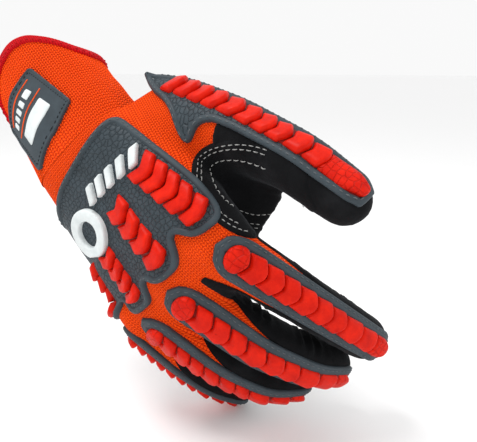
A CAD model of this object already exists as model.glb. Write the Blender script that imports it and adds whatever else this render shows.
import math
from itertools import product

import bpy
import numpy as np
from mathutils import Matrix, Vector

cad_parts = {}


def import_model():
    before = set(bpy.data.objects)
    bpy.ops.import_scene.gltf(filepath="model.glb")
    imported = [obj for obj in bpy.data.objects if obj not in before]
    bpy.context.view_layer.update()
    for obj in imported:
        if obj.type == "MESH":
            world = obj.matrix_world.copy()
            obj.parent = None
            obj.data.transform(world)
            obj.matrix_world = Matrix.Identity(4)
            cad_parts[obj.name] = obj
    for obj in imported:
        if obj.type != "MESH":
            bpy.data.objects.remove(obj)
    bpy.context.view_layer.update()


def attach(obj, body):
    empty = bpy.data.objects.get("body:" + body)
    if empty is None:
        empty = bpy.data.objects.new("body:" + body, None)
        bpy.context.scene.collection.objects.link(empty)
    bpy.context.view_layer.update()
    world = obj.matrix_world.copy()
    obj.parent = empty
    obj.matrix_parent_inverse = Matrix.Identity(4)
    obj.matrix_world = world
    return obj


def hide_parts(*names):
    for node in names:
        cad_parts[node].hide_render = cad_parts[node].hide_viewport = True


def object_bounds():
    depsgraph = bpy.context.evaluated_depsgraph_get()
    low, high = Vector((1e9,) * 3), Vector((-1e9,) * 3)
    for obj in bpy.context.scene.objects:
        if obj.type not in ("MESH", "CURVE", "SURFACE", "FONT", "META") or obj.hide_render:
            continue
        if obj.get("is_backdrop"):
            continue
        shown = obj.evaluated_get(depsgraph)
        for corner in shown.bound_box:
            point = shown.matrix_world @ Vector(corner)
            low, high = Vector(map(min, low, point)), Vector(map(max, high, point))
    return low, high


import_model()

DEG = math.pi / 180

# Sections across the hand, as in the part's source, in millimetres and degrees
PALM = [
    # y, x, z, half, thick, arch, slope
    (-2, 0.5, 0, 33, 20.5, 0.02, 0),
    (10, -1, 0.5, 35.5, 18.5, 0.1, 3),
    (25, -2, 1.5, 39.5, 16.2, 0.2, 7),
    (42, -3, 2.5, 44.5, 14.6, 0.32, 11),
    (60, -3, 3, 48.5, 13.4, 0.42, 14.5),
    (76, -3, 2.6, 50.5, 12.4, 0.5, 17),
    (86, -3, 0.8, 49.5, 11, 0.52, 17),
    (93, -3, -2.2, 44, 8, 0.52, 17),
    (97, -3, -5, 37, 4, 0.52, 17),
]
FINGERS = {
    "index": dict(knuckle=(-37, 83.3, 7.4), roll=-22, spread=-23.2, lengths=(47, 29.5, 30.6),
                  bends=(32.9, 6.1, 9), half=(12.4, 10.6), thick=(9.6, 8.2)),
    "middle": dict(knuckle=(-6.5, 85.5, 5.4), roll=4, spread=-5.5, lengths=(47.7, 31.5, 29.7),
                   bends=(31, 15.8, 20.1), half=(12.4, 10.6), thick=(9.6, 8.2)),
    "ring": dict(knuckle=(17.9, 86.8, -2.3), roll=29.4, spread=8.9, lengths=(40.9, 27.2, 26.9),
                 bends=(26.6, 12.3, 25), half=(12, 10.2), thick=(9.3, 8)),
    "little": dict(knuckle=(36.1, 82.2, -8.7), roll=57.7, spread=31.6, lengths=(34.2, 22.4, 24.2),
                   bends=(12.8, 7, 16.2), half=(11.2, 9.6), thick=(8.8, 7.5)),
}
THUMB = dict(start=(-44.1, 6.8, -12.9), azimuth=-36.1, rise=12.4, roll=-54, lengths=(45.5, 37, 35.2),
             bends=(0, 10.4, 13.6))
THUMB_GIRTH = [
    # s, half, thick, palm
    (-14, 9, 1, 1.2), (0, 14, 9, 10.8), (14, 15, 12.4, 14.9), (46, 13.2, 11.4, 14),
    (83, 11.6, 9.8, 11.8), (117, 10.4, 8.6, 9.6),
]
THUMB_WEB = [
    # s, middle, far end, half thickness
    (-6, (-25, 1, -6), (-12, 1, -3), 15), (10, (-31, 14, -5), (-18, 14, -4), 15),
    (25, (-39, 29, -5), (-24, 30, -5), 13), (40, (-47, 43, -7), (-30, 46, -6), 10.5),
    (54, (-54, 57, -11), (-36, 62, -7), 7.5), (68, (-60, 69, -16), (-40, 76, -9), 4.8),
    (78, (-63, 77, -19), (-43, 86, -12), 2.6),
]
FINGER_WEB = [(-6, 8), (6, 7), (13, 5), (17, 2.4)]
CUFF = dict(length=46, lean=8.3, sway=7.5, half=31.5, thick=22, bulge=29, palm_bulge=5)
HELD_TURN = (-46.5, 77.3)
BEND_REACH = 8.4
FINGER_PALM_SIDE = 1.7
TIP_RADIUS = 9.7
RIM_RADIUS = 12
WING_DEPTH = 11
PALM_POWER = 3
DIGIT_POWER = 2.6

# Seams, guards and blocks, in charts over the skin
KNIT_BACK = dict(below=1, rim=0.985, past_rim=1, end=90)
KNIT_STRIP = dict(start=-10, share=0.66, depth=8.4, root_margin=6.5, end_margin=-3, reach=20)
KNIT_THUMB = dict(start=-14, end=44, left=10.8, left_depth=6, right=34, depth=30, reach=30, palm_depth=4,
                  own=8)
KNIT_LAP = 1.2
PATCH = dict(centre=(-59, 66, -4), normal=(-0.42, 0.42, 0.8), along=27, across=20, under=12,
             rows=(2.2, 4, 8.6))
BACK_GUARD = [
    (-29, 1, 6), (22, 10, 10), (44, 24, 10), (46.5, 50, 10), (47.5, 75.5, 9), (34.5, 76.5, 7),
    (28, 70.5, 3.5), (22.5, 83, 7), (6.5, 83.5, 7), (2.5, 72.5, 4), (-4.5, 80.5, 7), (-20.5, 80.5, 7),
    (-25.5, 66.5, 4), (-33, 76, 7), (-50.5, 75.5, 8), (-49.5, 58, 12), (-39.5, 30, 12),
]
BACK_ROWS = {
    # first and last block middle, number of blocks, half breadth
    "index": ((-30, 36.5), (-40.1, 66.8), 5, 7.4), "middle": ((-8.3, 43.4), (-12.5, 70.8), 4, 6.6),
    "ring": ((14.6, 54.5), (14.2, 75.3), 4, 5.6), "little": ((34.6, 50.8), (40.5, 71), 4, 5.2),
}
FINGER_BLOCKS = [0, 0.105, 0.21, 0.315, 0.42, 0.525, 0.63, 0.735, 0.86, 0.985]
THUMB_BLOCKS = [0, 0.09, 0.18, 0.27, 0.36, 0.45, 0.535, 0.62, 0.705, 0.79]
THUMB_GUARD = [
    # s, left, right
    (-13, -0.7, 0.7), (-7, -4.2, 4), (0, -7, 7), (10, -8.8, 9.4), (18, -9.3, 12.5), (26, -9.3, 17),
    (31, -9.3, 17.5), (35, -9.2, 12.5), (41, -9.1, 9.6), (52, -9, 8.8), (70, -8.8, 8.4), (92, -8.4, 8),
    (110, -7.4, 7), (115.5, -4.5, 4.5),
]
# From a digit's start to its first block, and from its last block to its end
FINGER_ROW = (5.6, 8.5)
THUMB_ROW = (11.2, 7.2)
THUMB_BLOCK_SHARE, THUMB_TIP_BLOCK = 0.088, 0.925
BLOCK_FILL = 0.86
BLOCK_EDGE = [(0.04, 0.3), (0.25, 0.62), (0.75, 0.9), (1.15, 1)]
BLOCK_SHAPES = {
    # corners: across and along as shares of half the block, along as a share of its half breadth, radius
    "round": ([(-1, 0.35, 0, 1.8), (-1, -0.5, 0, 1.8), (-0.45, -1, 0, 1.8), (0.45, -1, 0, 1.8),
               (1, -0.5, 0, 1.8), (1, 0.35, 0, 1.8), (0, 1, 0, 2)], 4),
    "tip": ([(-1, 0.24, 0, 2.2), (-1, -1, -0.3, 1), (0, -1, 0, 1.4), (1, -1, -0.3, 1), (1, 0.24, 0, 2.2),
             (0.4, 1, 0, 1.6), (-0.4, 1, 0, 1.6)], 4),
}
STRIP = [(-1, 1.2), (-0.9, 2.35), (0, 2.45), (0.9, 2.35), (1, 1.2)]
BADGE = dict(centre=(16, 37), radius=12.5, bore=6.5, first_bar=(0, 25), last_bar=(-28.5, 27))
BADGE_BAR = [(-4.1, -4.2, 0.7), (0.1, -4.2, 0.7), (4.1, 4.2, 0.7), (-0.1, 4.2, 0.7)]

# Edges of plates and badges: how far in, and how high
BORDER = [(0, -0.7), (0.05, 0.6), (0.2, 1.5), (0.5, 2.2), (0.95, 2.6), (1.5, 2.55), (2.1, 2.6), (2.6, 2.5),
          (2.95, 2.1), (3.2, 1.75)]
BAND = [(0, -0.7), (0.05, 0.5), (0.2, 1.25), (0.5, 1.8), (0.95, 2.1), (1.35, 2.0), (1.7, 1.85), (2.05, 2.05),
        (2.6, 2.2), (3.3, 2.15), (3.7, 1.9), (3.95, 1.65)]
BADGE_PROFILE = [(0, 1.4), (0.05, 3.2), (0.25, 4.0), (0.7, 4.35), (1.3, 4.4)]
LABEL_BORDER = [(0, -0.3), (0.05, 0.9), (0.2, 1.3), (0.5, 1.5), (1.1, 1.5), (1.35, 1.3), (1.6, 1.12)]
LABEL_MARK = [(0, 0.9), (0.05, 1.3), (0.2, 1.45)]
LABEL = dict(hand=((62, 117), (0.04, 0.24)), hem=((42, 103), (0.68, 0.7)), wide=35.0, tall=44.0)
EDGE_PITCH, FIELD_PITCH, BLOCK_PITCH = 0.9, 1.3, 0.7
FIELD_LAP = 0.06
STITCH_DEPTH = 1.6
STITCH_RISE = np.array([-0.5, 0.05, 0.2, 0.2, 0.05, -0.5])
STITCH_TURNS = np.arange(6) * math.pi / 3
STITCH_STRAY = 0.9

# Cuff: wrist is x, y, half breadth and half depth; a knit loop is wide and tall
WRIST = (0.5, -2.3, 33, 20.5)
CUFF_LOOP = (2.9, 2.1)
CUFF_INSIDE = -1.6
LEG_LEAN = 1.1
KNIT_COLUMNS = 62
HEM_WIDTH = 4.8
HEM_STEPS, HEM_STEP = 260, 0.75
HEM_STITCH_DROP = -3.6
HEM_PROFILE = [
    # how far out, and how far past the rim
    (0.1, -5.1), (0.9, -5.1), (1.3, -4.6), (1.4, -3.8), (1.25, -2.7), (1.45, -1.6), (1.4, -0.8), (0.9, 0.1),
    (0, 0.35), (-1, 0.3), (-2, -0.1), (-2.6, -0.9), (-2.7, -2.4), (-2.6, -4.2), (-2.3, -4.9), (-1.5, -5.1),
]

# Camera (in the hand's frame, with angles in radians), lights and floor
CAMERA = dict(turn=(0.24712837, 0.44537164, -2.45002035), shift=(-53.158875, -3.110095), away=303.441927,
              middle=50, scale=1.844345, size=0.93, half_width=238.5)
SENSOR = 36
LIGHTS = [
    # name, share of the way to the camera, right and above in metres, size, energy
    ("key_light", 1.1, -0.35, 0.75, 0.35, 4.2), ("fill_light", 0.9, 0.7, 0.1, 0.6, 0.8),
]
FLOOR = dict(size=60, drop=0.0005, shade=0.96)
SKY_STRENGTH = 0.95


# Numbers and frames
def unit(v):
    v = np.asarray(v, float)
    return v / np.maximum(np.linalg.norm(v, axis=-1, keepdims=True), 1e-9)


def turn(axis, degrees):
    a = unit(axis)
    k = np.array([[0, -a[2], a[1]], [a[2], 0, -a[0]], [-a[1], a[0], 0]])
    t = degrees * DEG
    return np.eye(3) + math.sin(t) * k + (1 - math.cos(t)) * k @ k


def power(x, p):
    return np.sign(x) * np.abs(x) ** p


X, Y, Z = np.eye(3)
CUFF_TURN = turn(Z, CUFF["sway"]) @ turn(X, CUFF["lean"])
CUFF_AXIS, CUFF_ACROSS, CUFF_UP = CUFF_TURN @ -Y, CUFF_TURN @ X, CUFF_TURN @ Z
OPENING = CUFF_AXIS * (CUFF["length"] + CUFF["bulge"] / 2)
HELD = turn(X, HELD_TURN[0]) @ turn(Y, HELD_TURN[1])


def world(points):
    return (np.asarray(points) - OPENING) @ HELD.T / 1000


def eased(table, step=1.0, blur=5):
    """A table of rows read at even steps and smoothed, so that sections run into each other."""
    table = np.array(table, float)
    at = np.arange(table[0, 0], table[-1, 0] + step / 2, step)
    out = np.stack([np.interp(at, table[:, 0], c) for c in table.T[1:]], 1)
    for _ in range(2):
        wide = np.pad(out, ((blur, blur), (0, 0)), mode="reflect", reflect_type="odd")
        out = np.stack([np.convolve(c, np.ones(2 * blur + 1) / (2 * blur + 1), "valid") for c in wide.T], 1)
    return at, out


palm_at, palm_rows = eased(PALM, 0.5, 6)


def palm_row(y):
    return [np.interp(y, palm_at, c) for c in palm_rows.T]


def palm_chart(p):
    """Across the arch and out of the middle, for points in the hand's frame."""
    x, z, half, thick, arch, slope = palm_row(p[:, 1])
    r = 1 / (arch * DEG)
    vx = p[:, 0] - (x - np.sin(slope * DEG) * r)
    vz = p[:, 2] - (z - np.cos(slope * DEG) * r)
    across = (np.arctan2(vx, vz) / DEG - slope) / arch
    return across, np.hypot(vx, vz) - r, half, thick


def palm_point(across, y):
    x, z, half, thick, arch, slope = palm_row(y)
    t = (slope + arch * across) * DEG
    r = 1 / (arch * DEG)
    point = np.stack([x + (np.sin(t) - np.sin(slope * DEG)) * r, y + 0 * x,
                      z + (np.cos(t) - np.cos(slope * DEG)) * r], 1)
    return point, np.stack([np.sin(t), 0 * t, np.cos(t)], 1)


def round_rim(across, y):
    """Points of a flat outline moved to a chart that runs round the palm's outer rim."""
    last = palm_row(y)[2] - RIM_RADIUS
    over = np.maximum(np.abs(across) - last, 0) / RIM_RADIUS
    round_ = np.where(across > 0, np.arcsin(np.minimum(over, 0.95)), over)
    return np.sign(across) * (np.minimum(np.abs(across), last) + RIM_RADIUS * round_)


def palm_ray(uv):
    """Start inside and direction out for a place of that chart."""
    across, y = uv.T
    last = palm_row(y)[2] - RIM_RADIUS
    start, out = palm_point(np.clip(across, -last, last), y)
    lean = (np.clip(np.abs(across) - last, 0, 1.4 * RIM_RADIUS) * np.sign(across) / RIM_RADIUS)[:, None]
    side = np.stack([out[:, 2], 0 * y, -out[:, 0]], 1)
    return start, out * np.cos(lean) + side * np.sin(lean)


class Digit:
    """A finger or the thumb: its bent centre line with a frame, and its girth."""

    def __init__(self, name, start, along, dorsal, lengths, bends, girth):
        self.name, self.total = name, sum(lengths)
        self.side = np.cross(along, dorsal)
        self.step = 0.5
        self.s = np.arange(-14, self.total + 14, self.step)
        joints = (0, lengths[0], lengths[0] + lengths[1])
        bend = 0
        for degrees, joint in zip(bends, joints):
            bend = bend + degrees * np.clip((self.s - joint + BEND_REACH) / (2 * BEND_REACH), 0, 1)
        c, n = np.cos(bend * DEG)[:, None], np.sin(bend * DEG)[:, None]
        self.heading = along * c - dorsal * n
        self.normal = dorsal * c + along * n
        line = np.cumsum(self.heading * self.step, 0)
        self.line = line - line[np.argmin(np.abs(self.s))] + start
        at, rows = eased(girth, 1.0, 5)
        self.half, self.thick, self.palm = (np.interp(self.s, at, c) for c in rows.T)

    def read(self, values, s):
        if values.ndim == 1:
            return np.interp(s, self.s, values)
        return np.stack([np.interp(s, self.s, c) for c in values.T], 1)

    def chart(self, p):
        """Place along, across, and out of the centre line."""
        coarse = slice(None, None, 4)
        rough = np.empty(len(p), int)
        for i in range(0, len(p), 20000):
            block = p[i:i + 20000]
            d = ((block[:, None] - self.line[None, coarse]) ** 2).sum(2)
            rough[i:i + 20000] = d.argmin(1) * 4
        gap = p - self.line[rough]
        s = self.s[rough] + (gap * self.heading[rough]).sum(1)
        s = np.clip(s, self.s[0], self.s[-1])
        gap = p - self.read(self.line, s)
        return s, gap @ self.side, (gap * self.read(self.normal, s)).sum(1)

    def field(self, p):
        s, a, u = self.chart(p)
        on_line = np.minimum(s, self.total)
        half, thick, palm = (self.read(v, on_line) for v in (self.half, self.thick, self.palm))
        depth = np.where(u > 0, thick, palm)
        tip = self.half[-1] * 1.05
        over = np.maximum(s - (self.total - tip), 0)
        under = np.maximum(-8 - s, 0)
        shape = (np.abs(a / half) ** DIGIT_POWER + np.abs(u / depth) ** DIGIT_POWER) ** (1 / DIGIT_POWER)
        rho = np.sqrt(shape ** 2 + (over / tip) ** 2 + (under / 6) ** 2) + 1e-6
        return np.sqrt(a * a + u * u + over * over + under * under) * (1 - 1 / rho)

    def over_tip(self, s):
        """Place on the line, and a direction that leans forward where a chart runs round the tip."""
        last = self.total - self.half[-1] * 1.05
        lean = np.clip((s - last) / TIP_RADIUS, 0, 1.35)[:, None]
        s = np.minimum(s, last)
        out = self.read(self.normal, s) * np.cos(lean) + self.read(self.heading, s) * np.sin(lean)
        return self.read(self.line, s), out

    def ray(self, s, across):
        """Start inside and direction out, straight up from the place across."""
        start, out = self.over_tip(s)
        return start + np.outer(across, self.side), out


def make_finger(name, knuckle, roll, spread, lengths, bends, half, thick):
    dorsal = np.array([math.sin(roll * DEG), 0, math.cos(roll * DEG)])
    along = turn(dorsal, -spread) @ Y
    total = sum(lengths)
    side = FINGER_PALM_SIDE
    girth = [(-14, half[0], thick[0], thick[0]), (0, half[0], thick[0], thick[0] * side),
             (total, half[1], thick[1], thick[1] * side)]
    return Digit(name, knuckle, along, dorsal, lengths, bends, girth)


def make_thumb(start, azimuth, rise, roll, lengths, bends):
    a, r = azimuth * DEG, rise * DEG
    along = np.array([math.sin(a) * math.cos(r), math.cos(a) * math.cos(r), math.sin(r)])
    dorsal = turn(along, roll) @ unit(Z - along * along[2])
    return Digit("thumb", start, along, dorsal, lengths, bends, THUMB_GIRTH)


fingers = [make_finger(name, **row) for name, row in FINGERS.items()]
thumb = make_thumb(**THUMB)
digits = fingers + [thumb]
CUT = -3.0
PALM_BOX = [(-70, CUT - 8, -60), (66, 108, 34)]
DIGIT_MARGIN = 22
PALM_END = 98
SOFT_BLEND = 5

# The hand's body as a distance grid: palm, digits and webs run softly into each other
CELL = 1.35
reach = np.concatenate([d.line for d in digits])
GRID_LOW = np.array([reach[:, 0].min() - 16, CUT - 6, reach[:, 2].min() - 20])
GRID_HIGH = np.array([62, reach[:, 1].max() + 16, 34])
GRID_SIZE = np.ceil((GRID_HIGH - GRID_LOW) / CELL).astype(int)


def grid_points(low, high):
    a = np.clip(((low - GRID_LOW) / CELL).astype(int), 0, GRID_SIZE)
    b = np.clip(((high - GRID_LOW) / CELL).astype(int) + 1, 0, GRID_SIZE)
    axes = [GRID_LOW[i] + CELL * np.arange(a[i], b[i]) for i in range(3)]
    box = tuple(slice(a[i], b[i]) for i in range(3))
    return box, np.stack(np.meshgrid(*axes, indexing="ij"), -1).reshape(-1, 3)


def soft_union(a, b, blend):
    h = np.maximum(blend - np.abs(a - b), 0) / blend
    return np.minimum(a, b) - h * h * blend / 4


def add_field(grid, near, margin, field, blend):
    """A field joined to the grid's values, within a margin round the points near it."""
    near = np.asarray(near, float)
    box, points = grid_points(near.min(0) - margin, near.max(0) + margin)
    part = field(points).reshape(grid[box].shape)
    grid[box] = soft_union(grid[box], part, blend)


def palm_field(p):
    across, up, half, thick = palm_chart(p)
    shape = (np.abs(across / half) ** PALM_POWER + np.abs(up / thick) ** PALM_POWER) ** (1 / PALM_POWER)
    return np.maximum(np.hypot(across, up) * (1 - 1 / (shape + 1e-6)), p[:, 1] - PALM_END)


def balls_field(centres, radii):
    def field(p):
        out = np.full(len(p), 99.0)
        for c, r in zip(centres, radii):
            out = np.minimum(out, np.sqrt(((p - c) ** 2).sum(1)) - r)
        return out
    return field


def web_balls(rows, count):
    centres, radii = [], []
    for a, b in zip(rows[:-1], rows[1:]):
        for t in np.linspace(0, 1, 5)[:-1]:
            from_, mid, to = (a[i] + (b[i] - a[i]) * t for i in range(3))
            for u in np.linspace(0, 2, count):
                centres.append(from_ + (mid - from_) * u if u < 1 else mid + (to - mid) * (u - 1))
                radii.append(a[3] + (b[3] - a[3]) * t)
    return np.array(centres), np.array(radii)


def make_grid():
    grid = np.full(GRID_SIZE, 60.0)
    for finger in fingers:
        add_field(grid, finger.line, DIGIT_MARGIN, finger.field, 0.8)
    for pair in zip(fingers[:-1], fingers[1:]):
        rows = []
        for s, half in FINGER_WEB:
            a, b = (d.read(d.line, np.array([s]))[0] for d in pair)
            rows.append((a, (a + b) / 2, b, half))
        centres, radii = web_balls(rows, 7)
        add_field(grid, centres, 12, balls_field(centres, radii), 2.5)
    add_field(grid, PALM_BOX, 0, palm_field, SOFT_BLEND)
    add_field(grid, thumb.line, DIGIT_MARGIN, thumb.field, SOFT_BLEND)
    rows = [(thumb.read(thumb.line, np.array([s]))[0], np.array(middle, float), np.array(end, float), half)
            for s, middle, end, half in THUMB_WEB]
    centres, radii = web_balls(rows, 9)
    add_field(grid, centres, 18, balls_field(centres, radii), SOFT_BLEND)
    kernel = np.array([0.25, 0.5, 0.25])
    for _ in range(3):
        for axis in range(3):
            side = np.pad(grid, [(1, 1) if i == axis else (0, 0) for i in range(3)], mode="edge")
            parts = [np.take(side, range(k, k + grid.shape[axis]), axis) for k in range(3)]
            grid = kernel[0] * parts[0] + kernel[1] * parts[1] + kernel[2] * parts[2]
    return grid


grid = make_grid()


def corner_mix(f, read):
    """Values at the eight corners of a cell, mixed by the place in it."""
    near = 1 - f
    out = 0
    for corner in product((0, 1), repeat=3):
        x, y, z = (f[:, i] if c else near[:, i] for i, c in enumerate(corner))
        out = out + x * y * z * read(corner)
    return out


def sample(points):
    """The distance grid read between its points."""
    q = np.clip((points - GRID_LOW) / CELL, 0, GRID_SIZE - 1.001)
    i = q.astype(int)
    return corner_mix(q - i, lambda c: grid[i[:, 0] + c[0], i[:, 1] + c[1], i[:, 2] + c[2]])


def slope(points, step=1.6):
    g = np.stack([sample(points + step * e) - sample(points - step * e) for e in np.eye(3)], 1)
    return unit(g)


def skin(start, out, longest=34):
    """Where the ray from inside leaves the body, and the surface's normal there."""
    out = unit(out)
    reach = np.arange(3, longest, 0.7)
    values = np.stack([sample(start + out * r) for r in reach], 1)
    leaves = (values[:, :-1] < 0) & (values[:, 1:] >= 0)
    k = np.where(leaves.any(1), leaves.argmax(1), len(reach) - 2)
    rows = np.arange(len(k))
    a, b = values[rows, k], values[rows, k + 1]
    t = np.clip(a / np.where(a == b, 1, a - b), 0, 1)
    point = start + out * (reach[k] + 0.7 * t)[:, None]
    return point, slope(point)


# Meshes
def net(values):
    """Quads over the zero level of the grid."""
    f = values
    inside = f < 0
    n = np.array(f.shape) - 1
    corners = product((0, 1), repeat=3)
    stack = [inside[i:n[0] + i, j:n[1] + j, k:n[2] + k] for i, j, k in corners]
    mixed = np.any(stack, 0) & ~np.all(stack, 0)
    cells = np.argwhere(mixed)
    number = np.full(mixed.shape, -1)
    number[mixed] = np.arange(len(cells))
    total = np.zeros((len(cells), 3))
    count = np.zeros(len(cells))
    for axis in range(3):
        for u in (0, 1):
            for v in (0, 1):
                a = np.insert([u, v], axis, 0)
                b = np.insert([u, v], axis, 1)
                fa, fb = f[tuple((cells + a).T)], f[tuple((cells + b).T)]
                cross = (fa < 0) != (fb < 0)
                t = np.where(cross, fa / np.where(fa == fb, 1, fa - fb), 0)
                total += (a + (b - a) * t[:, None]) * cross[:, None]
                count += cross
    verts = GRID_LOW + (cells + total / count[:, None]) * CELL
    quads = []
    for axis in range(3):
        u, v = [i for i in range(3) if i != axis]
        lo = [slice(1, -1)] * 3
        lo[axis] = slice(0, -1)
        hi = list(lo)
        hi[axis] = slice(1, None)
        change = inside[tuple(lo)] != inside[tuple(hi)]
        at = np.argwhere(change) + [0 if i == axis else 1 for i in range(3)]
        du, dv = np.eye(3, dtype=int)[u], np.eye(3, dtype=int)[v]
        ring = [at - du - dv, at - dv, at, at - du]
        ids = np.stack([number[tuple(r.T)] for r in ring], 1)
        first = inside[tuple(at.T)]
        flip = first if axis != 1 else ~first
        ids[~flip] = ids[~flip][:, ::-1]
        quads.append(ids)
    quads = np.concatenate(quads)
    return verts, quads[(quads >= 0).all(1)]


def sheet_quads(rows, columns):
    ids = np.arange(rows * columns).reshape(rows, columns)
    return np.stack([ids[:-1, :-1], ids[1:, :-1], ids[1:, 1:], ids[:-1, 1:]], -1).reshape(-1, 4)


def halves(quads):
    return np.concatenate([quads[:, [0, 1, 2]], quads[:, [0, 2, 3]]])


def vertex_normals(verts, tris):
    a, b, c = (verts[tris[:, i]] for i in range(3))
    n = np.cross(b - a, c - a)
    out = np.zeros_like(verts)
    for i in range(3):
        np.add.at(out, tris[:, i], n)
    return unit(out)


def relaxed(verts, tris, rounds):
    for _ in range(rounds):
        total, count = np.zeros_like(verts), np.zeros(len(verts))
        for i in range(3):
            for j in ((i + 1) % 3, (i + 2) % 3):
                np.add.at(total, tris[:, i], verts[tris[:, j]])
                np.add.at(count, tris[:, i], 1)
        verts = verts * 0.5 + 0.5 * total / np.maximum(count, 1)[:, None]
    return verts


def clip(verts, tris, field, extras=()):
    """The part of a triangle mesh where the field is above zero, cut along the zero line."""
    inside = field > 0
    score = inside[tris].sum(1)
    keep = [tris[score == 3]]
    new_verts, new_extras, cache = [], [[] for _ in extras], {}

    def cross(i, j):
        key = (min(i, j), max(i, j))
        if key not in cache:
            t = field[i] / (field[i] - field[j])
            cache[key] = len(verts) + len(new_verts)
            new_verts.append(verts[i] + (verts[j] - verts[i]) * t)
            for out, e in zip(new_extras, extras):
                out.append(e[i] + (e[j] - e[i]) * t)
        return cache[key]

    cut = []
    for tri in tris[(score > 0) & (score < 3)]:
        while not (inside[tri[0]] and not inside[tri[2]]):
            tri = np.roll(tri, 1)
        i, j, k = (int(v) for v in tri)
        if inside[j]:
            p, q = cross(j, k), cross(i, k)
            cut += [(i, j, p), (i, p, q)]
        else:
            cut.append((i, cross(i, j), cross(i, k)))
    if cut:
        keep.append(np.array(cut))
    verts = np.concatenate([verts, np.array(new_verts).reshape(-1, 3)])
    extras = [np.concatenate([e, np.array(n)]) for e, n in zip(extras, new_extras)]
    tris = np.concatenate(keep)
    used, tris = np.unique(tris, return_inverse=True)
    return verts[used], tris.reshape(-1, 3), [e[used] for e in extras]


def lattice(p, seed):
    """A random number from 0 to 1 for each whole place."""
    i = p.astype(np.int64)
    h = (i[:, 0] * 374761393 + i[:, 1] * 668265263 + i[:, 2] * 2147483647 + seed * 974634777) & 0x7FFFFFFF
    h = (h ^ (h >> 13)) * 1274126177 & 0x7FFFFFFF
    return ((h ^ (h >> 16)) & 0xFFFF) / 65535.0


def noise(p, size, seed):
    """Smooth noise from -1 to 1."""
    q = p / size + 500
    i = np.floor(q)
    f = q - i
    return corner_mix(f * f * (3 - 2 * f), lambda c: lattice(i + c, seed)) * 2 - 1


def rise(x, low, high):
    t = np.clip((x - low) / (high - low), 0, 1)
    return t * t * (3 - 2 * t)


def add_mesh(name, verts, faces, material, slot, replaces=(), uv=None, marks=None):
    """A piece from points in the hand's frame, with its chart as UV in millimetres."""
    mesh = bpy.data.meshes.new(name)
    mesh.from_pydata(world(verts).tolist(), [], [list(map(int, f)) for f in faces])
    materials = material if isinstance(material, (list, tuple)) else [material]
    for m in materials:
        mesh.materials.append(m)
    if marks is not None:
        mesh.polygons.foreach_set("material_index", np.asarray(marks, np.int32))
    if uv is not None:
        layer = mesh.uv_layers.new(name="UVMap")
        loops = np.empty(len(mesh.loops), np.int32)
        mesh.loops.foreach_get("vertex_index", loops)
        layer.data.foreach_set("uv", np.asarray(uv)[loops].astype(np.float32).ravel())
    mesh.validate()
    mesh.polygons.foreach_set("use_smooth", np.ones(len(mesh.polygons), bool))
    mesh.update()
    obj = bpy.data.objects.new(name, mesh)
    bpy.context.scene.collection.objects.link(obj)
    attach(obj, "root")
    if replaces:
        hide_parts(*replaces)
    return obj


# Materials
class Look:
    """A material that is being built: its nodes and its one shader."""

    def __init__(self, name, color, roughness, **sockets):
        self.material = bpy.data.materials.new(name)
        self.material.use_nodes = True
        self.tree = self.material.node_tree
        self.shader = self.tree.nodes["Principled BSDF"].inputs
        self.shader["Base Color"].default_value = (*color, 1)
        self.shader["Roughness"].default_value = roughness
        for key, value in sockets.items():
            self.shader[key.replace("_", " ")].default_value = value

    def link(self, output, socket):
        self.tree.links.new(output, socket)

    def node(self, kind, **values):
        n = self.tree.nodes.new("ShaderNode" + kind)
        for key, value in values.items():
            if key in n.inputs.keys():
                n.inputs[key].default_value = value
            else:
                setattr(n, key, value)
        return n

    def math(self, operation, a, b=0.0):
        n = self.node("Math", operation=operation)
        for socket, value in zip(n.inputs, (a, b)):
            if isinstance(value, (int, float)):
                socket.default_value = value
            else:
                self.link(value, socket)
        return n.outputs[0]

    def ridges(self, value, factor):
        """A row of round ridges: the sine without its sign."""
        return self.math("ABSOLUTE", self.math("SINE", self.math("MULTIPLY", value, factor)))

    def ramp(self, factor, stops, socket=None):
        """A colour ramp; a stop's single number is a gray."""
        n = self.node("ValToRGB")
        while len(n.color_ramp.elements) < len(stops):
            n.color_ramp.elements.new(0.5)
        for element, (place, color) in zip(n.color_ramp.elements, stops):
            element.position = place
            element.color = (*(color if isinstance(color, tuple) else (color,) * 3), 1)
        self.link(factor, n.inputs[0])
        if socket is not None:
            self.link(n.outputs[0], self.shader[socket])
        return n.outputs[0]

    def bump(self, height, distance, strength=1.0, below=None):
        n = self.node("Bump", Strength=strength, Distance=distance)
        self.link(height, n.inputs["Height"])
        if below is not None:
            self.link(below, n.inputs["Normal"])
        self.link(n.outputs[0], self.shader["Normal"])
        return n.outputs[0]

    def noise(self, scale, detail=3, roughness=0.55):
        n = self.node("TexNoise", Scale=scale, Detail=detail, Roughness=roughness)
        self.link(self.node("TexCoord").outputs["Object"], n.inputs["Vector"])
        return n.outputs["Fac"]

    def uv(self):
        split = self.node("SeparateXYZ")
        self.link(self.node("UVMap").outputs[0], split.inputs[0])
        return split.outputs[0], split.outputs[1]


def knit_height(look, wide, tall):
    """Loops in columns: two leaning legs side by side, and a dark hole between loops."""
    u, v = look.uv()
    x = look.math("SUBTRACT", look.math("FRACT", look.math("DIVIDE", u, wide)), 0.5)
    off = look.math("ABSOLUTE", x)
    lean = look.math("ADD", look.math("DIVIDE", v, tall), look.math("MULTIPLY", off, LEG_LEAN))
    leg, row = look.ridges(off, 2 * math.pi), look.ridges(lean, math.pi)
    return look.math("MULTIPLY", look.math("POWER", leg, 0.5), look.math("POWER", row, 0.6))


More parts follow.
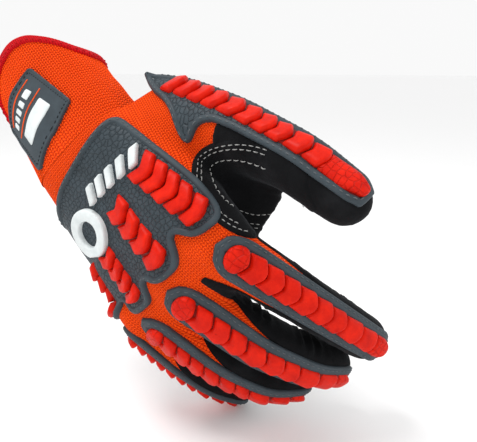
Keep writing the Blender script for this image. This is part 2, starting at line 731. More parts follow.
def knit_material(name, loop, distance, dark):
    look = Look(name, (1.0, 0.05, 0.002), 0.85, Sheen_Weight=0.04, Sheen_Roughness=0.5,
                Sheen_Tint=(1.0, 0.35, 0.1, 1), Specular_IOR_Level=0.1)
    height = knit_height(look, *loop)
    shade = look.math("ADD", height, look.math("MULTIPLY", look.noise(90), 0.25))
    look.ramp(shade, [(0.12, dark), (0.42, (0.9, 0.04, 0.001)), (0.85, (1.0, 0.082, 0.004))], "Base Color")
    look.bump(height, distance, 1.0, look.bump(look.noise(2600, 2), 0.00008, 0.6))
    return look.material


def suede_material():
    look = Look("suede", (0.006, 0.006, 0.007), 0.95, Sheen_Weight=0.06, Sheen_Roughness=0.4,
                Sheen_Tint=(0.6, 0.64, 0.7, 1), Specular_IOR_Level=0.12)
    stops = [(0.3, (0.003, 0.003, 0.0035)), (0.55, (0.006, 0.0062, 0.007)), (0.8, (0.014, 0.0145, 0.016))]
    look.ramp(look.noise(55, 4, 0.6), stops, "Base Color")
    nap = look.bump(look.noise(1900, 3, 0.7), 0.00018, 0.8)
    look.bump(look.noise(330, 4, 0.6), 0.0007, 0.55, nap)
    return look.material


def moulded_material(name, kind, cells=0, shade=1.0):
    """Moulded rubber: worn patches, fine grain and, where a cell size is given, pebbles."""
    look = Look(name, kind["color"], kind["roughness"], Specular_IOR_Level=kind["specular"])
    worn = look.noise(kind["wear"], 4, 0.6)
    low, high = (tuple(c * shade for c in color) for color in kind["worn"])
    look.ramp(worn, [(0.3, low), (0.7, high)], "Base Color")
    if "polish" in kind:
        look.ramp(worn, list(zip((0.3, 0.7), kind["polish"])), "Roughness")
    scale, detail, depth, strength = kind["grain"]
    grain = look.bump(look.noise(scale, detail), depth, strength)
    if cells:
        randomness, stops, depth, strength = kind["pebbles"]
        n = look.node("TexVoronoi", feature="DISTANCE_TO_EDGE", voronoi_dimensions="2D", Scale=1 / cells,
                      Randomness=randomness)
        look.link(look.node("UVMap").outputs[0], n.inputs["Vector"])
        look.bump(look.ramp(n.outputs["Distance"], stops), depth, strength, grain)
    return look.material


def woven_material(name, color, ribs, weft):
    look = Look(name, color, 0.8, Sheen_Weight=0.03, Specular_IOR_Level=0.1)
    u, v = look.uv()
    cross = look.math("MULTIPLY", look.ridges(v, math.pi / weft), 0.4)
    height = look.math("ADD", look.ridges(u, math.pi / ribs), cross)
    low, high = (tuple(c * k for c in color) for k in (0.55, 1.1))
    look.ramp(height, [(0.25, low), (0.9, high)], "Base Color")
    look.bump(height, 0.0003)
    return look.material


def thread_material(name, color):
    look = Look(name, color, 0.7, Specular_IOR_Level=0.2)
    height = look.noise(3000, 2)
    low, high = (tuple(c * k for c in color) for k in (0.7, 1.2))
    look.ramp(height, [(0.35, low), (0.65, high)], "Base Color")
    look.bump(height, 0.0001)
    return look.material


RUBBER_LOOK = dict(color=(0.040, 0.054, 0.064), roughness=0.55, specular=0.22, wear=130, polish=(0.45, 0.62),
                   worn=((0.032, 0.0432, 0.0512), (0.0488, 0.06588, 0.07808)), grain=(2300, 2, 0.00006, 0.5),
                   pebbles=(0.75, [(0.02, 0.0), (0.14, 0.85), (0.4, 1.0)], 0.0006, 1.0))
BLOCK_LOOK = dict(color=(0.7, 0.012, 0.003), roughness=0.48, specular=0.1, wear=160, polish=(0.34, 0.5),
                  worn=((0.52, 0.007, 0.002), (0.76, 0.017, 0.004)), grain=(900, 3, 0.00015, 0.5),
                  pebbles=(0.55, [(0.01, 0.0), (0.09, 0.9), (0.4, 1.0)], 0.0004, 0.9))
EMBLEM_LOOK = dict(color=(0.74, 0.78, 0.78), roughness=0.45, specular=0.25, wear=140,
                   worn=((0.62, 0.67, 0.67), (0.78, 0.82, 0.82)), grain=(1200, 3, 0.00012, 0.6))
KNIT_FINE = knit_material("knit_fine", (2.1, 1.5), 0.0006, (0.30, 0.018, 0.0))
KNIT_COARSE = knit_material("knit_coarse", CUFF_LOOP, 0.0008, (0.22, 0.012, 0.0))
SUEDE = suede_material()
RUBBER = moulded_material("rubber_smooth", RUBBER_LOOK)
PEBBLED = moulded_material("rubber_pebbled", RUBBER_LOOK, 2.4)
BLOCK = moulded_material("block_smooth", BLOCK_LOOK)
SCALED = moulded_material("block_scaled", BLOCK_LOOK, 2.7)
GROOVE = moulded_material("block_groove", BLOCK_LOOK, 0, 0.3)
HEM_CLOTH = woven_material("hem_cloth", (0.55, 0.002, 0.006), 1.3, 0.7)
WHITE = moulded_material("emblem_white", EMBLEM_LOOK)
GRAY_THREAD = thread_material("gray_thread", (0.105, 0.12, 0.13))
PALE_THREAD = thread_material("pale_thread", (0.33, 0.33, 0.32))
RED_THREAD = thread_material("red_thread", (0.5, 0.004, 0.008))
DARK_THREAD = thread_material("dark_thread", (0.02, 0.023, 0.026))
LABEL_ORANGE = thread_material("label_orange", (0.9, 0.1, 0.01))

# The skin: one surface, cut along the seams
skin_verts, quads = net(grid)
tris = halves(quads)
a, b, c = (skin_verts[tris[:, i]] for i in range(3))
facing = (np.cross(b - a, c - a) * slope((a + b + c) / 3)).sum(1) > 0
tris[~facing] = tris[~facing][:, ::-1]
skin_verts = relaxed(skin_verts, tris, 3)
normals = vertex_normals(skin_verts, tris)

charts = {d.name: d.chart(skin_verts) for d in digits}
across, up, palm_half, _ = palm_chart(skin_verts)
reach_of = {d.name: np.hypot(charts[d.name][1], charts[d.name][2]) for d in digits}


def finger_width(share):
    """Half the breadth of a finger's guard, from its start to its end."""
    return 10 + (8 - 10) * share


def knit_field():
    """Positive where the back is knit, in millimetres from the seam."""
    k = KNIT_BACK
    rim = palm_half * k["rim"] + k["past_rim"] - np.abs(across)
    best = np.minimum.reduce([up + k["below"], rim, k["end"] - skin_verts[:, 1]])
    k = KNIT_STRIP
    for d in fingers:
        s, a, u = charts[d.name]
        end = d.total * k["share"]
        share = np.clip((s - k["start"]) / (end - k["start"]), 0, 1)
        margin = k["root_margin"] + (k["end_margin"] - k["root_margin"]) * share
        aside = finger_width(share * k["share"]) + margin - np.abs(a)
        top = d.read(d.thick, s) - k["depth"]
        strip = [aside, s - k["start"], end - s, u - top, k["reach"] - reach_of[d.name]]
        best = np.maximum(best, np.minimum.reduce(strip))
    k = KNIT_THUMB
    s, a, u = charts["thumb"]
    left = np.maximum(np.minimum(a + k["left"], u - thumb.read(thumb.thick, s) + k["left_depth"]), a)
    base = np.minimum.reduce([k["end"] - s, left, k["right"] - a, u + k["depth"], s - k["start"]])
    base = np.minimum(base, np.maximum(up + k["palm_depth"], k["own"] - a))
    return np.maximum(best, np.minimum(base, k["reach"] - reach_of["thumb"]))


patch_normal = unit(np.array(PATCH["normal"]))
patch_across = unit(np.cross(patch_normal, thumb.read(thumb.heading, np.array([60.0]))[0]))
patch_ahead = np.cross(patch_across, patch_normal)


def patch_field(points):
    gap = points - np.array(PATCH["centre"])
    x, y = gap @ patch_ahead / PATCH["along"], gap @ patch_across / PATCH["across"]
    depth = gap @ patch_normal
    return np.minimum((1 - np.hypot(x, y)) * PATCH["across"], 34 - np.abs(depth))


knit_seam = knit_field()
patch_seam = patch_field(skin_verts)
wrist_seam = skin_verts[:, 1] - CUT - 0.6


def cut_skin(fields, offset, extras=()):
    """A panel of the skin: kept where every field is above zero, and lifted by the offset."""
    verts, faces = skin_verts + normals * offset[:, None], tris
    values = [np.asarray(f, float) for f in fields] + [np.asarray(e, float) for e in extras]
    for i in range(len(fields)):
        verts, faces, values = clip(verts, faces, values[i], values)
    return verts, faces, values[len(fields):]


# Cloth relief: soft lumps, creases where the digits bend, and turned seam edges
lumps = noise(skin_verts, 17, 1) * 0.5 + noise(skin_verts, 8, 2) * 0.22
creases = np.zeros(len(skin_verts))
for d in digits:
    s, a, u = charts[d.name]
    near = (reach_of[d.name] < 21) & (s > 4)
    joints = np.array([0.34, 0.66]) * d.total + (4 if d is thumb else 0)
    for joint in joints:
        past = s - joint
        wave = np.cos(past * 2 * math.pi / 6.5 + noise(skin_verts, 9, 5)) * np.exp(-(past / 8) ** 2)
        under_side = rise(-u, -3, 4)
        creases += near * under_side * wave * 0.75
ridged = (1 - np.abs(noise(skin_verts, 11, 7))) ** 4 * 0.7 - 0.25
palm_side = rise(-up, 0, 6) * (skin_verts[:, 1] < 96)
leather_lift = lumps * 0.6 + creases + ridged * (0.35 + 0.65 * palm_side)

edge = np.minimum(-knit_seam, 6)
lift = leather_lift * rise(edge, 0, 4) + 0.95 * rise(edge, -0.05, 1.1) - 0.25 * rise(edge, 1.2, 3.2)
verts, faces, _ = cut_skin([-knit_seam, 1.0 - patch_seam, wrist_seam], lift)
add_mesh("palm_suede", verts, faces, SUEDE, "suede",
         ["palm_leather", "index_stall", "middle_stall", "ring_stall", "little_stall", "thumb_stall"])

KNIT_NODES = ["knit_back", "index_knit", "middle_knit", "ring_knit", "little_knit"]
lift = lumps * 0.35 - 0.25 * rise(-knit_seam, -1.5, 0.3)
seams = [knit_seam + KNIT_LAP, 1.0 - patch_seam, wrist_seam]
verts, faces, uv = cut_skin(seams, lift, [across, skin_verts[:, 1]])
add_mesh("back_knit", verts, faces, KNIT_FINE, "knit", KNIT_NODES, uv=np.stack(uv, 1))

edge = np.minimum(patch_seam, 6)
lift = 1.3 * rise(edge, -0.05, 1.2) - 0.25 * rise(edge, 1.5, 4) + 0.35 * ridged * rise(edge, 4, 7)
lift = lift + 0.3 * lumps
verts, faces, _ = cut_skin([patch_seam, wrist_seam], lift)
add_mesh("thumb_crotch_patch", verts, faces, SUEDE, "suede", ["crotch_patch"])


# Plates: flat outlines in a chart, laid on the skin with a height profile from the edge in
def resampled(outline, pitch, closed=True):
    points = np.asarray(outline, float)
    if closed:
        points = np.vstack([points, points[:1]])
    gaps = np.hypot(*np.diff(points, axis=0).T)
    along = np.concatenate([[0], np.cumsum(gaps)])
    count = max(8, int(round(along[-1] / pitch)))
    at = np.linspace(0, along[-1], count + 1)[:-1] if closed else np.linspace(0, along[-1], count + 1)
    return np.stack([np.interp(at, along, points[:, i]) for i in (0, 1)], 1)


def rounded(corners, steps=6):
    """Outline with round corners, from rows of x, y and radius."""
    points = []
    rows = [np.array(c, float) for c in corners]
    for i, here in enumerate(rows):
        before, after = rows[i - 1][:2], rows[(i + 1) % len(rows)][:2]
        p, radius = here[:2], here[2]
        size = min(radius, 0.45 * np.hypot(*(p - before)), 0.45 * np.hypot(*(p - after)))
        a, b = p + unit(before - p) * size, p + unit(after - p) * size
        for t in np.linspace(0, 1, steps):
            points.append(a * (1 - t) ** 2 + 2 * p * t * (1 - t) + b * t * t)
    return np.array(points)


def counter_clockwise(outline):
    x, y = outline.T
    area = np.sum(x * np.roll(y, -1) - y * np.roll(x, -1))
    return outline if area > 0 else outline[::-1]


def inward(outline):
    t = np.roll(outline, -1, 0) - np.roll(outline, 1, 0)
    n = np.stack([-t[:, 1], t[:, 0]], 1)
    for _ in range(2):
        n = unit(n)
        n = (np.roll(n, 1, 0) + 2 * n + np.roll(n, -1, 0)) / 4
    return unit(n)


def edge_distance(points, outline):
    """Distance from points to an outline, positive inside."""
    a, b = outline, np.roll(outline, -1, 0)
    best = np.full(len(points), 1e9)
    odd = np.zeros(len(points), bool)
    for p, q in zip(a, b):
        d = q - p
        t = np.clip(((points - p) @ d) / (d @ d), 0, 1)
        best = np.minimum(best, ((points - p - t[:, None] * d) ** 2).sum(1))
        spans = (p[1] > points[:, 1]) != (q[1] > points[:, 1])
        x = p[0] + (points[:, 1] - p[1]) * d[0] / (d[1] if d[1] else 1e-9)
        odd ^= spans & (points[:, 0] < x)
    return np.sqrt(best) * np.where(odd, 1, -1)


def loops_mesh(loops):
    n = len(loops[0])
    faces = []
    for r in range(len(loops) - 1):
        for i in range(n):
            j = (i + 1) % n
            faces.append((r * n + i, r * n + j, (r + 1) * n + j, (r + 1) * n + i))
    return np.concatenate(loops), faces


def inset_loops(outline, ray, chart, depths):
    """Loops inside an outline at depths measured along the skin, with their places in the chart."""
    base, normal = skin(*ray(outline))
    ahead = np.roll(base, -1, 0) - np.roll(base, 1, 0)
    n = unit(np.cross(normal, ahead))
    for _ in range(3):
        n = unit(np.roll(n, 1, 0) + 2 * n + np.roll(n, -1, 0))
    loops = []
    for d in depths:
        p = base + n * d
        for _ in range(3):
            p = p - slope(p) * sample(p)[:, None]
        loops.append(p)
    return loops, [chart(p) for p in loops]


def plate(name, outline, place, profile, replaces, ray=None, chart=None, field=1):
    """A broad rubber plate: rounded border loops, and a field inside cut from a fine grid."""
    outline = counter_clockwise(resampled(outline, EDGE_PITCH))
    if chart:
        points, loops = inset_loops(outline, ray, chart, [d for d, _ in profile])
        border = np.concatenate([p + slope(p) * h for p, (_, h) in zip(points, profile)])
    else:
        loops = [outline + inward(outline) * d for d, _ in profile]
        border = place(np.concatenate(loops), np.repeat([h for _, h in profile], len(outline)))
    uv, faces = loops_mesh(loops)
    low, high = outline.min(0), outline.max(0)
    axes = [np.arange(low[i], high[i] + FIELD_PITCH, FIELD_PITCH) for i in (0, 1)]
    cells = np.stack(np.meshgrid(*axes, indexing="ij"), -1)
    flat = cells.reshape(-1, 2)
    flat_tris = halves(sheet_quads(*cells.shape[:2]))
    depth = edge_distance(flat, loops[-1]) + FIELD_LAP
    inside, flat_tris, _ = clip(np.column_stack([flat, np.zeros(len(flat))]), flat_tris, depth)
    inside = inside[:, :2]
    marks = [0] * len(faces) + [field] * len(flat_tris)
    faces = faces + [tuple(t + len(uv)) for t in flat_tris]
    verts = np.vstack([border, place(inside, np.full(len(inside), profile[-1][1]))])
    uv = np.vstack([uv, inside])
    add_mesh(name, verts, faces, [RUBBER, PEBBLED][:field + 1], "rubber", replaces, uv=uv, marks=marks)


def block_mesh(outline, place, profile, crown=lambda uv: 0):
    """A small block: border loops, then loops that close on its middle under a crown."""
    outline = counter_clockwise(resampled(outline, BLOCK_PITCH))
    n = inward(outline)
    middle, top = outline.mean(0), profile[-1][1]
    loops = [outline + n * d for d, _ in profile]
    loops += [middle + (loops[-1] - middle) * scale for scale in (0.72, 0.42, 0.1)]
    uv, faces = loops_mesh(loops)
    height = np.repeat([h for _, h in profile] + [top] * 3, len(outline))
    faces.append(tuple(range(len(uv) - len(outline), len(uv))))
    return uv, place(uv, height + crown(uv) * rise(height, 0.5, top)), faces


def merged(parts):
    uvs, verts, faces, marks, start = [], [], [], [], 0
    for uv, v, f, mark in parts:
        uvs.append(uv)
        verts.append(v)
        faces += [tuple(i + start for i in face) for face in f]
        marks += [mark] * len(f)
        start += len(v)
    return np.vstack(uvs), np.vstack(verts), faces, marks


def stitches(name, lines, place, material, height, pitch=3.1, length=2.1, thick=0.34, on_body=True):
    """Thread dashes along lines in a chart, each one a small tube with its ends sunk in."""
    parts = []
    for line, closed in lines:
        fine = resampled(line, 0.25, closed)
        along = np.concatenate([[0], np.cumsum(np.hypot(*np.diff(fine, axis=0).T))])
        count = int(along[-1] / pitch)
        for k in range(count):
            s = (k + 0.2) * along[-1] / count + np.linspace(0, length, len(STITCH_RISE))
            uv = np.stack([np.interp(s, along, fine[:, i]) for i in (0, 1)], 1)
            centre = place(uv, height + STITCH_RISE)
            if on_body and np.abs(sample(centre) - height).max() > STITCH_STRAY:
                continue
            out = unit(place(uv, height + STITCH_RISE + 1) - centre)
            side = np.cross(unit(np.gradient(centre, axis=0)), out)
            ring = [centre + thick * (out * math.cos(t) * 0.9 + side * math.sin(t)) for t in STITCH_TURNS]
            verts, faces = loops_mesh(np.stack(ring, 1))
            parts.append((np.repeat(uv, len(ring), 0), verts, faces, 0))
    uv, verts, faces, _ = merged(parts)
    add_mesh(name, verts, faces, material, "binding", uv=uv)


def on_skin(ray):
    """A place on the skin for a chart point and a height, along the smoothed normal."""
    def place(uv, height):
        start, out = ray(uv)
        point, normal = skin(start, out)
        return point + normal * np.asarray(height)[:, None]
    return place


def finger_ray(d):
    return lambda uv: d.ray(uv[:, 1], uv[:, 0])


def border_line(outline, depth):
    outline = counter_clockwise(resampled(outline, EDGE_PITCH))
    return outline + inward(outline) * depth


back_place = on_skin(palm_ray)
back_outline = resampled(rounded(BACK_GUARD), EDGE_PITCH)
back_outline[:, 0] = round_rim(*back_outline.T)
plate("back_guard_rubber", back_outline, back_place, BORDER, ["back_guard"])
line = border_line(back_outline, STITCH_DEPTH)
stitches("back_guard_stitches", [(line, True)], back_place, GRAY_THREAD, 2.5)


def finger_outline(d):
    start, end = -3, d.total + 1.2
    rows = np.linspace(0, 1, 60)
    s = start + (end - start) * rows
    near = np.clip((s - start) / 10, 0, 1)
    far = np.clip((end - s) / 8, 0, 1)
    width = finger_width(rows) * np.minimum(np.sqrt(1 - (1 - near) ** 2), np.sqrt(1 - (1 - far) ** 2))
    left, right = np.stack([-width, s], 1), np.stack([width, s], 1)
    return np.vstack([right, left[-2:0:-1]])


def thumb_outline():
    table = np.array(THUMB_GUARD, float)
    s = np.linspace(table[0, 0], table[-1, 0], 90)
    left, right = (np.interp(s, table[:, 0], table[:, i]) for i in (1, 2))
    for _ in range(3):
        for side in (left, right):
            side[1:-1] = (side[:-2] + 2 * side[1:-1] + side[2:]) / 4
    return np.vstack([np.stack([right, s], 1), np.stack([left, s], 1)[::-1]])


def arrow_shape(point):
    """A block with an arrow head in front and a notch behind, in the columns of BLOCK_SHAPES."""
    return [(-1, 1, -point, 0.8), (-0.92, -1, -point, 0.9), (0, -1, 0, 0.8), (0.92, -1, -point, 0.9),
            (1, 1, -point, 0.8), (0.25, 1, 0, 0.8), (-0.25, 1, 0, 0.8)], 3


def block_crown(row):
    """A block's top falls to its sides and rises to its point."""
    def crown(uv):
        side = np.abs(uv[:, 0]) / row["half"]
        ahead = (uv[:, 1] - row["s"] + 0.25 * row["half"] * side) / row["length"]
        tilt = row["height"] * (0.34 * np.clip(ahead * 2, -1, 1) - 0.1)
        return 0.3 * (1 - side) - 0.7 * rise(side, 0.55, 1.05) + tilt
    return crown


def block_row(name, place, rows, top, replaces, strip_half):
    """Blocks along the middle of a guard, on a low strip of the same rubber."""
    first, last = rows[0]["s"] - rows[0]["length"] / 2, rows[-1]["s"] + rows[-1]["length"] / 2
    s = np.linspace(first + 0.8, last - 1, 40)
    uv = np.concatenate([np.stack([0 * s + strip_half * side, s], 1) for side, _ in STRIP])
    height = np.repeat([h for _, h in STRIP], len(s))
    parts = [(uv, place(uv, height), sheet_quads(len(STRIP), len(s)), 2)]
    for i, row in enumerate(rows):
        special = row.get("shape")
        point = 0.55 if i < len(rows) * 0.7 else 0.36
        corners, steps = BLOCK_SHAPES[special] if special else arrow_shape(point)
        half, length = row["half"], row["length"] / 2
        outline = rounded([(x * half, y * length + lean * half, r) for x, y, lean, r in corners], steps)
        profile = [(0, 1.3)] + [(d, top + row["height"] * share) for d, share in BLOCK_EDGE]
        block = block_mesh(outline + [0, row["s"]], place, profile, block_crown(row))
        parts.append((*block, 1 if special else 0))
    uv, verts, faces, marks = merged(parts)
    add_mesh(name, verts, faces, [BLOCK, SCALED, GROOVE], "ridge", replaces, uv=uv, marks=marks)


for d in fingers:
    place, outline = on_skin(finger_ray(d)), finger_outline(d)
    plate(f"{d.name}_guard_rubber", outline, place, BAND, [f"{d.name}_guard"])
    line = border_line(outline, STITCH_DEPTH)
    stitches(f"{d.name}_guard_stitches", [(line, True)], place, GRAY_THREAD, 1.9, thick=0.28)
    start, rest = FINGER_ROW
    span = d.total - rest - start
    gaps = np.diff(FINGER_BLOCKS)
    rows = [dict(s=start + span * share, length=span * gap * BLOCK_FILL, half=6 - 1.1 * share,
                 height=2.9 - 0.9 * share) for share, gap in zip(FINGER_BLOCKS, [*gaps, gaps[-1]])]
    rows[0]["shape"], rows[-1]["shape"] = "round", "tip"
    block_row(f"{d.name}_blocks", place, rows, 2.2, [f"{d.name}_ridge"], 4.9)


def thumb_ray(uv):
    """Straight up from the place across, and from lower down where the guard's wing lies on the web."""
    start, out = thumb.ray(uv[:, 1], uv[:, 0])
    return start - out * (WING_DEPTH * rise(np.abs(uv[:, 0]), 7, 13))[:, None], out


def thumb_uv(points):
    s, a, _ = thumb.chart(points)
    return np.stack([a, s], 1)


thumb_place, outline = on_skin(thumb_ray), thumb_outline()
plate("thumb_guard_rubber", outline, thumb_place, BORDER, ["thumb_guard"], ray=thumb_ray, chart=thumb_uv)
edge = counter_clockwise(resampled(outline, EDGE_PITCH))
line = inset_loops(edge, thumb_ray, thumb_uv, [STITCH_DEPTH])[1][0]
stitches("thumb_guard_stitches", [(line, True)], thumb_place, GRAY_THREAD, 2.5)
start, rest = THUMB_ROW
span = thumb.total - rest - start
length = span * THUMB_BLOCK_SHARE * BLOCK_FILL
rows = [dict(s=start + span * share, length=length, half=6 - share, height=2.7 - 0.6 * share)
        for share in THUMB_BLOCKS]
rows.append(dict(s=start + span * THUMB_TIP_BLOCK, length=20, half=5.1, height=2.1, shape="tip"))
block_row("thumb_blocks", thumb_place, rows, 2.2, ["thumb_ridge"], 5)


def row_place(first, ahead):
    """The back's own chart turned to run along a row of blocks."""
    axes = np.array([[ahead[1], -ahead[0]], ahead])
    return lambda uv, height: back_place(first + uv @ axes, height)


for name, (first, last, count, half) in BACK_ROWS.items():
    first, last = np.array(first), np.array(last)
    total = np.hypot(*(last - first))
    pitch = total / (count - 1)
    rows = [dict(s=i * pitch, length=pitch * BLOCK_FILL, half=half, height=3) for i in range(count)]
    place = row_place(first, (last - first) / total)
    block_row(f"back_blocks_{name}", place, rows, 2.1, [f"back_ridge_{name}"], half * 0.85)

# Emblem: a plain round badge and slanted bars
turns = np.arange(48) * 2 * math.pi / 48
circle = np.stack([np.cos(turns), np.sin(turns)], 1)
radii = [BADGE["radius"] - d for d, _ in BADGE_PROFILE] + [BADGE["bore"] + d for d, _ in BADGE_PROFILE[::-1]]
uv, faces = loops_mesh([np.array(BADGE["centre"]) + r * circle for r in radii])
heights = np.repeat([h for _, h in BADGE_PROFILE + BADGE_PROFILE[::-1]], len(circle))
add_mesh("badge_ring", back_place(uv, heights), faces, WHITE, "emblem", ["emblem_badge"], uv=uv)
first, last = np.array(BADGE["first_bar"]), np.array(BADGE["last_bar"])
for i in range(5):
    shape = rounded(BADGE_BAR, 4) + first + (last - first) * i / 4
    uv, verts, faces = block_mesh(shape, back_place, BADGE_PROFILE[:4])
    add_mesh(f"badge_bar_{i + 1}", verts, faces, WHITE, "emblem", [f"emblem_bar_{i + 1}"], uv=uv)


# Cuff: a knitted tube, its hem and its label
def cuff_point(t, share, offset, drop=0.0):
    """A point of the cuff from the turn round it, the share of its length, and how far out it lies."""
    t, share, offset, drop = np.broadcast_arrays(*(np.asarray(v, float) for v in (t, share, offset, drop)))
    p = 2 / PALM_POWER + 0.16 * share
    c, s = power(np.cos(t), p), power(np.sin(t), p)
    x, y, half, thick = WRIST
    wrist = np.stack([x + (half + offset) * c, y + 0 * c, (thick + offset) * s], -1)
    bulge = np.where(s > 0, CUFF["bulge"], CUFF["palm_bulge"]) * np.sin(t) ** 2
    parts = (CUFF["length"] + bulge, (CUFF["half"] + offset) * c, (CUFF["thick"] + offset) * s)
    rim = sum(part[..., None] * axis for part, axis in zip(parts, (CUFF_AXIS, CUFF_ACROSS, CUFF_UP)))
    return wrist + (rim - wrist) * share[..., None] + drop[..., None] * CUFF_AXIS


def cuff_sag(points, share):
    """How far the cloth waves in and out, nothing at the wrist seam."""
    return (noise(points, 19, 11) * 0.8 + noise(points, 9, 12) * 0.3) * rise(share, 0, 0.35)


def even_turns(count):
    """Turns round the cuff that are evenly far apart along its rim."""
    t = np.linspace(0, 2 * math.pi, 2001)
    rim = cuff_point(t, 0.6, 0)
    along = np.concatenate([[0], np.cumsum(np.linalg.norm(np.diff(rim, axis=0), axis=1))])
    return np.interp(np.linspace(0, along[-1], count + 1), along, t)


def knit_cuff():
    samples = 7
    wide, tall = CUFF_LOOP
    t = even_turns(KNIT_COLUMNS * samples)
    shares = np.linspace(0, 1, 150)
    middle = cuff_point(t[:, None], shares[None], 0)
    steps = np.linalg.norm(np.diff(middle, axis=1), axis=2)
    run = np.concatenate([np.zeros((len(t), 1)), np.cumsum(steps, axis=1)], 1)
    column = np.arange(len(t)) / samples
    off = np.abs(column % 1 - 0.5)[:, None]
    leg, row = np.abs(np.sin(2 * math.pi * off)), np.abs(np.sin(math.pi * (run / tall + LEG_LEAN * off)))
    loop = leg ** 0.5 * row ** 0.6
    inner_shares = np.linspace(1, 0, 24)
    layers = []
    for share, offset in ((shares, 0.42 * loop - 0.15), (inner_shares, CUFF_INSIDE)):
        centre = cuff_point(t[:, None], share[None], 0)
        sag = cuff_sag(centre.reshape(-1, 3), np.tile(share, len(t))).reshape(len(t), -1)
        layers.append(cuff_point(t[:, None], share[None], offset + sag, -share[None] * HEM_WIDTH))
    verts = np.concatenate(layers, 1)
    rows = verts.shape[1]
    v = np.concatenate([run, run[:, -1:] * inner_shares], 1)
    uv = np.stack([np.repeat(column * wide, rows), v.ravel()], 1)
    quads = sheet_quads(len(t), rows)
    add_mesh("cuff_knit", verts.reshape(-1, 3), quads, KNIT_COARSE, "knit", ["knit_cuff"], uv=uv)


def cuff_hem():
    t = even_turns(HEM_STEPS)[:-1]
    sag = cuff_sag(cuff_point(t, 1.0, 0), np.ones(len(t)))
    ribs = 0.12 * np.abs(np.sin(np.arange(len(t)) * math.pi * 0.5))
    rings = [cuff_point(t, 1.0, out + sag + (ribs if out > 1 else 0), drop) for out, drop in HEM_PROFILE]
    verts = np.stack(rings, 1)
    n, m = verts.shape[:2]
    ids = np.arange(n * m).reshape(n, m)
    quads = np.stack([ids, np.roll(ids, -1, 0), np.roll(np.roll(ids, -1, 0), -1, 1), np.roll(ids, -1, 1)], -1)
    uv = np.stack([np.repeat(np.arange(n) * HEM_STEP, m), np.tile([d for _, d in HEM_PROFILE], n)], 1)
    verts, quads = verts.reshape(-1, 3), quads.reshape(-1, 4)
    add_mesh("cuff_hem_binding", verts, quads, HEM_CLOTH, "binding", ["cuff_hem"], uv=uv)


def hem_place(uv, height):
    round_ = HEM_STEPS * HEM_STEP
    t = np.interp(uv[:, 0] % round_, np.arange(HEM_STEPS + 1) * HEM_STEP, even_turns(HEM_STEPS))
    sag = cuff_sag(cuff_point(t, 1.0, 0), np.ones(len(t)))
    return cuff_point(t, 1.0, height + sag, uv[:, 1])


def label_place(uv, height):
    """The label's chart in millimetres: across from the little finger's side, down from the hand."""
    u, v = uv[:, 0] / LABEL["wide"], uv[:, 1] / LABEL["tall"]
    rows = []
    for turns, places in (LABEL["hand"], LABEL["hem"]):
        rows.append((turns[0] + (turns[1] - turns[0]) * u, places[0] + (places[1] - places[0]) * u))
    t, share = (rows[0][i] + (rows[1][i] - rows[0][i]) * v for i in (0, 1))
    middle = cuff_point(t * DEG, share, 0)
    return cuff_point(t * DEG, share, 0.35 + height + cuff_sag(middle, share))


def rectangle(left, low, right, high, radius, steps=6):
    corners = ((left, low), (right, low), (right, high), (left, high))
    return rounded([(*corner, radius) for corner in corners], steps)


def label():
    w, h = LABEL["wide"], LABEL["tall"]
    outline = rectangle(0, 0, w, h, 2.5)
    plate("label_rubber", outline, label_place, LABEL_BORDER, ["cuff_label"], field=0)
    line = border_line(outline, 2.6)
    stitches("label_stitches", [(line, True)], label_place, DARK_THREAD, 1.1, 2.2, 1.7, 0.22, False)
    lines = [rectangle(5.5, low, w - 5.5, low + 0.9, 0.3, 3) for low in (24.5, 37.5)]
    blocks = [rectangle(9, 11, 26, 21.5, 1, 3)]
    blocks += [rectangle(7.6 + 4 * i, 29, 10.2 + 4 * i, 34.5, 0.5, 3) for i in range(5)]
    for name, shapes, material, slot in (("label_lines", lines, LABEL_ORANGE, "knit"),
                                         ("label_blocks", blocks, WHITE, "emblem")):
        parts = [(*block_mesh(shape, label_place, LABEL_MARK), 0) for shape in shapes]
        uv, verts, faces, _ = merged(parts)
        add_mesh(name, verts, faces, material, slot, uv=uv)


knit_cuff()
cuff_hem()
label()
hem_turns = np.arange(0, HEM_STEPS * HEM_STEP, 0.5)
hem_line = np.stack([hem_turns, np.full(len(hem_turns), HEM_STITCH_DROP)], 1)
stitches("hem_stitches", [(hem_line, False)], hem_place, RED_THREAD, 1.5, 3.2, 2.2, 0.28, False)


# Rows of stitches on the patch between thumb and first finger
def patch_ray(uv):
    start = np.array(PATCH["centre"]) + np.outer(uv[:, 0], patch_ahead) + np.outer(uv[:, 1], patch_across)
    return start - patch_normal * PATCH["under"], np.tile(patch_normal, (len(uv), 1))


turns = np.linspace(0, 2 * math.pi, 90)[:-1]
circle = np.stack([np.cos(turns), np.sin(turns)], 1)
patch_rows = [(circle * (PATCH["along"] - inset, PATCH["across"] - inset), True) for inset in PATCH["rows"]]
stitches("patch_stitches", patch_rows, on_skin(patch_ray), PALE_THREAD, 1.35, 2.6, 1.8, 0.26)

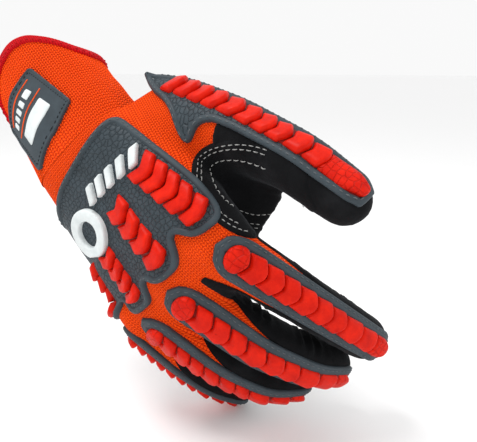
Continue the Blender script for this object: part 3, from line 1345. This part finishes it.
# Floor, light and camera
def placed(name, data, axes, place):
    obj = bpy.data.objects.new(name, data)
    bpy.context.scene.collection.objects.link(obj)
    obj.matrix_world = Matrix(np.vstack([np.column_stack([axes, place]), [0, 0, 0, 1]]))
    return obj


def soft_light(name, place, size, energy, aim):
    data = bpy.data.lights.new(name, "AREA")
    data.shape, data.size, data.energy = "DISK", size, energy
    back = unit(place - aim)
    across = unit(np.cross(Z, back))
    placed(name, data, np.stack([across, np.cross(back, across), back], 1), place)


def camera():
    """Looks from the photograph's place, worked out in the hand's frame."""
    view = np.eye(3)
    for axis, angle in zip((X, Y, Z), CAMERA["turn"]):
        view = turn(axis, angle / DEG) @ view
    eye = np.array([-CAMERA["shift"][0], -CAMERA["shift"][1], CAMERA["away"]])
    place = world(CAMERA["size"] * (view.T @ eye + CAMERA["middle"] * Y))
    axes = HELD @ view.T
    data = bpy.data.cameras.new("camera")
    data.sensor_fit, data.sensor_width = "HORIZONTAL", SENSOR
    data.lens = CAMERA["scale"] * CAMERA["away"] * SENSOR / (2 * CAMERA["half_width"])
    data.clip_start, data.clip_end = 0.01, 20
    bpy.context.scene.camera = placed("camera", data, axes, place)
    return place, axes


low, high = (np.array(c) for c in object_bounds())
bpy.ops.mesh.primitive_plane_add(size=FLOOR["size"], location=(0, 0, low[2] - FLOOR["drop"]))
floor = bpy.context.object
floor.name = "floor"
floor.data.materials.append(Look("floor_pale", (FLOOR["shade"],) * 3, 0.85).material)
floor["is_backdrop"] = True

sky = bpy.data.worlds.new("studio")
sky.use_nodes = True
sky.node_tree.nodes["Background"].inputs["Color"].default_value = (1, 1, 1, 1)
sky.node_tree.nodes["Background"].inputs["Strength"].default_value = SKY_STRENGTH
bpy.context.scene.world = sky

eye, view_axes = camera()
aim = (low + high) / 2
for name, back, right, above, size, energy in LIGHTS:
    place = aim + (eye - aim) * back + view_axes[:, 0] * right + view_axes[:, 1] * above
    soft_light(name, place, size, energy, aim)
bpy.context.scene.view_settings.view_transform = "Standard"
